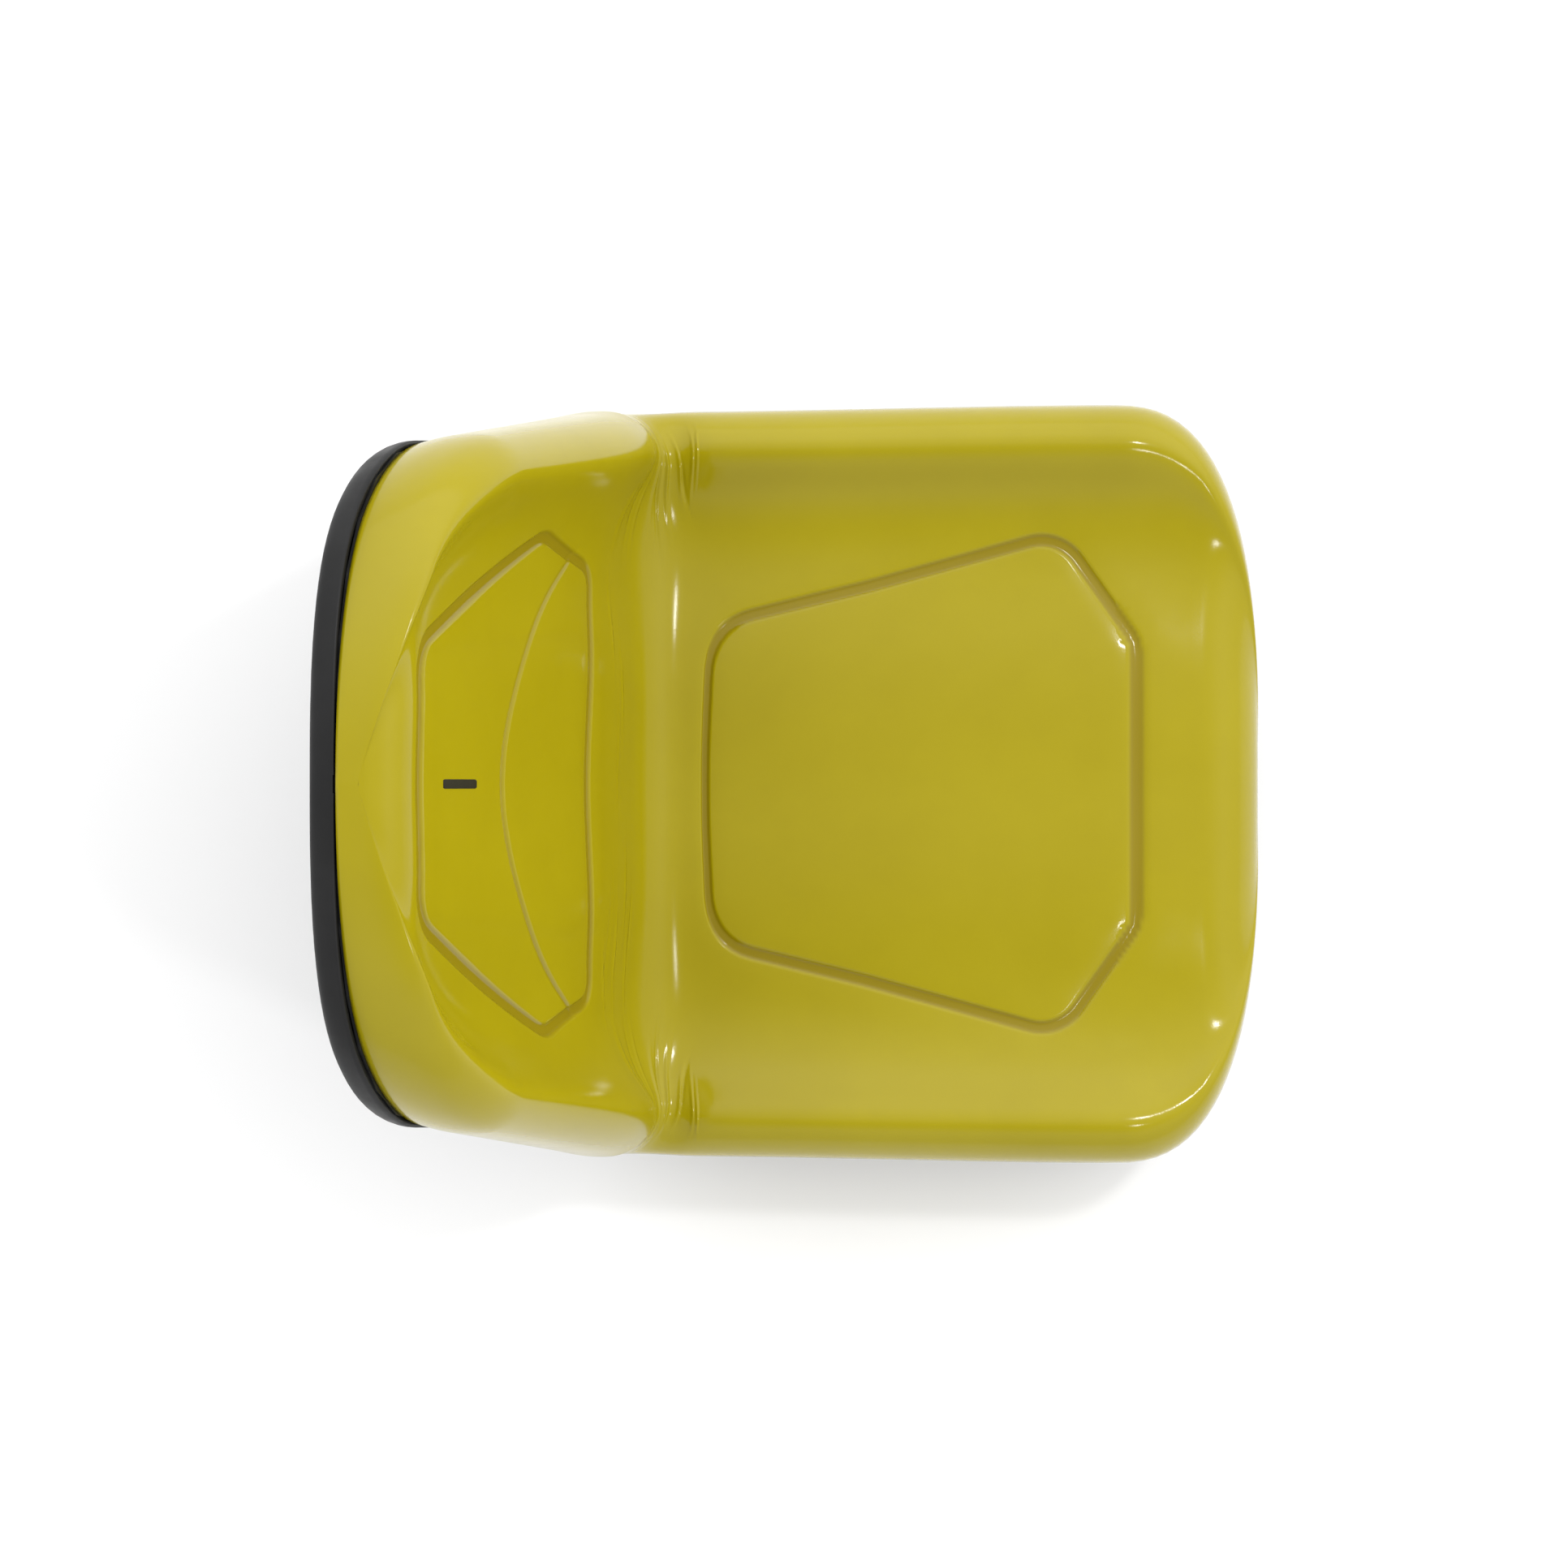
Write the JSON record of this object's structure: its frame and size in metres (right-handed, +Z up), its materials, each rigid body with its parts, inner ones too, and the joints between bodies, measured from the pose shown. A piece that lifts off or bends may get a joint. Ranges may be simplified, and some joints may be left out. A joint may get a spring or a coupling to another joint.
{
  "type": "tractor seat",
  "caption": "One-piece padded bucket seat in a black shell, with a contoured cushion and backrest, on fore-and-aft ball slides with a lift-bar latch and a sitter-sensing switch.",
  "frame": {"origin": "centre of the four mounting bolt holes, on the plane that the lower rails stand on", "axes": "+X towards the front of the seat, +Y to the sitter's left, +Z up"},
  "size_m": [0.5878, 0.509, 0.4919],
  "materials": {
    "vinyl": "glossy vinyl",
    "foam": "open-cell foam",
    "tag": "matte",
    "black_steel": "semi-gloss",
    "shell": "fine moulded grain",
    "zinc": "zinc plated",
    "rail": "zinc plated pressings",
    "nylon": "satin",
    "ball_steel": "ground",
    "roller": "ground",
    "grip": "dull",
    "switch_plastic": "satin"
  },
  "bodies": {
    "base": {"lower_rail_left": "rail", "lower_rail_right": "rail", "latch_rack_left": "rail", "latch_rack_right": "rail"},
    "cages": {"ball_cages": "nylon", "slide_balls": "ball_steel", "roller_straps": "nylon", "roller_pins": "ball_steel"},
    "rear_left_roller": {"roller_rear_left": "roller"},
    "front_left_roller": {"roller_front_left": "roller"},
    "rear_right_roller": {"roller_rear_right": "roller"},
    "front_right_roller": {"roller_front_right": "roller"},
    "seat": {"seat_cover": "vinyl", "cushion_foam": "foam", "backrest_foam": "foam", "cover_tag": "tag", "seat_pan": "black_steel", "back_shell": "shell", "shell_screws": "zinc", "pan_nuts": "zinc", "rail_bolts": "zinc", "boss_sleeves": "zinc", "upper_rail_left": "rail", "upper_rail_right": "rail", "latch_pivots": "zinc", "switch_body": "switch_plastic", "switch_spring": "ball_steel"},
    "latch": {"latch_arm_left": "rail", "latch_arm_right": "rail", "latch_bar": "zinc", "latch_grip": "grip", "latch_springs": "ball_steel"},
    "plunger": {"switch_plunger": "nylon"}
  },
  "joints": [
    {"name": "seat_slide", "type": "slide", "parent": "base", "child": "seat", "axis": [1, 0, 0], "range_m": [-0.075, 0.075]},
    {"name": "cage_travel", "type": "slide", "parent": "base", "child": "cages", "axis": [1, 0, 0], "range_m": [-0.0375, 0.0375]},
    {"name": "latch_lift", "type": "hinge", "parent": "seat", "child": "latch", "pos_m": [-0.07, 0, 0.02], "axis": [0, -1, 0], "range_deg": [-1.9, 1]},
    {"name": "plunger_press", "type": "slide", "parent": "seat", "child": "plunger", "axis": [0, 0, -1], "range_m": [0, 0.005], "stiffness_N_per_m": 900, "springref_m": -0.002, "deforming": ["switch_spring"]},
    {"name": "rear_left_roller_spin", "type": "hinge", "parent": "cages", "child": "rear_left_roller", "pos_m": [-0.05005, 0.143, 0.01475], "axis": [0, 1, 0], "range_deg": [-180.5, 180.5]},
    {"name": "front_left_roller_spin", "type": "hinge", "parent": "cages", "child": "front_left_roller", "pos_m": [0.05005, 0.143, 0.01475], "axis": [0, 1, 0], "range_deg": [-180.5, 180.5]},
    {"name": "rear_right_roller_spin", "type": "hinge", "parent": "cages", "child": "rear_right_roller", "pos_m": [-0.05005, -0.143, 0.01475], "axis": [0, 1, 0], "range_deg": [-180.5, 180.5]},
    {"name": "front_right_roller_spin", "type": "hinge", "parent": "cages", "child": "front_right_roller", "pos_m": [0.05005, -0.143, 0.01475], "axis": [0, 1, 0], "range_deg": [-180.5, 180.5]}
  ],
  "couplings": [
    {"joint": "cage_travel", "follows": "seat_slide", "ratio": 0.5},
    {"joint": "rear_left_roller_spin", "follows": "seat_slide", "rad_per_m": 41.841},
    {"joint": "front_left_roller_spin", "follows": "seat_slide", "rad_per_m": 41.841},
    {"joint": "rear_right_roller_spin", "follows": "seat_slide", "rad_per_m": 41.841},
    {"joint": "front_right_roller_spin", "follows": "seat_slide", "rad_per_m": 41.841}
  ]
}
